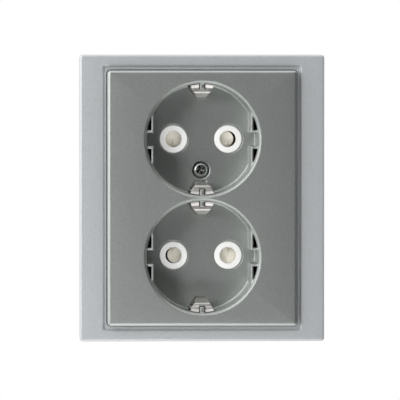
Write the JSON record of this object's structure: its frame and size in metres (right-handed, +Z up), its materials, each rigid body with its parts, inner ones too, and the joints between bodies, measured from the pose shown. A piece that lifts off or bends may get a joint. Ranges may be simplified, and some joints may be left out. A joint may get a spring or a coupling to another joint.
{
  "type": "double wall socket",
  "caption": "Earthed twin wall socket for one flush wall box: silver frame, one-piece cover with round wells, child-safety shutters, sprung earth clips and push-in terminals.",
  "frame": {"origin": "on the wall plane, midway between the two box screws", "axes": "+X right as seen by the user, +Z up, +Y into the wall"},
  "size_m": [0.0842, 0.0471, 0.0986],
  "materials": {
    "frame_lacquer": "silver lacquer with a fine flake, satin",
    "cover_lacquer": "darker silver lacquer, satin",
    "white_plastic": "white moulded plastic",
    "shutter_cream": "cream moulded plastic",
    "base_plastic": "grey moulded plastic",
    "nickel": "nickel plate on brass strip",
    "zinc_steel": "bright zinc plate on steel",
    "brass": "bare brass strip",
    "spring_steel": "plain spring steel",
    "release_plastic": "orange moulded plastic"
  },
  "bodies": {
    "housing": {"cover_frame": "frame_lacquer", "socket_cover": "cover_lacquer", "contact_carrier": "white_plastic", "contact_base": "base_plastic", "terminal_cap": "base_plastic", "upper_earth_yoke": "nickel", "lower_earth_yoke": "nickel", "earth_rail": "nickel", "earth_rivets": "nickel", "cover_screw": "zinc_steel", "carrier_screws": "zinc_steel", "support_plate": "zinc_steel", "line_rail": "brass", "neutral_rail": "brass", "cover_insert": "brass", "upper_shutter_spring": "spring_steel", "lower_shutter_spring": "spring_steel", "line_clamp": "spring_steel", "neutral_clamp": "spring_steel", "earth_clamp": "spring_steel"},
    "upper_shutter": {"upper_shutter": "shutter_cream"},
    "lower_shutter": {"lower_shutter": "shutter_cream"},
    "line_release": {"line_release": "release_plastic"},
    "neutral_release": {"neutral_release": "release_plastic"},
    "earth_release": {"earth_release": "release_plastic"}
  },
  "joints": [
    {"name": "upper_shutter_slide", "type": "slide", "parent": "housing", "child": "upper_shutter", "axis": [0, 0, 1], "range_m": [0, 0.006], "stiffness_N_per_m": 60, "springref_m": -0.004, "deforming": ["upper_shutter_spring"]},
    {"name": "lower_shutter_slide", "type": "slide", "parent": "housing", "child": "lower_shutter", "axis": [0, 0, -1], "range_m": [0, 0.006], "stiffness_N_per_m": 60, "springref_m": -0.004, "deforming": ["lower_shutter_spring"]},
    {"name": "neutral_release_press", "type": "slide", "parent": "housing", "child": "neutral_release", "axis": [0, -1, 0], "range_m": [0, 0.0016], "stiffness_N_per_m": 300, "springref_m": -0.002},
    {"name": "line_release_press", "type": "slide", "parent": "housing", "child": "line_release", "axis": [0, -1, 0], "range_m": [0, 0.0016], "stiffness_N_per_m": 300, "springref_m": -0.002},
    {"name": "earth_release_press", "type": "slide", "parent": "housing", "child": "earth_release", "axis": [0, -1, 0], "range_m": [0, 0.0016], "stiffness_N_per_m": 300, "springref_m": -0.002}
  ]
}
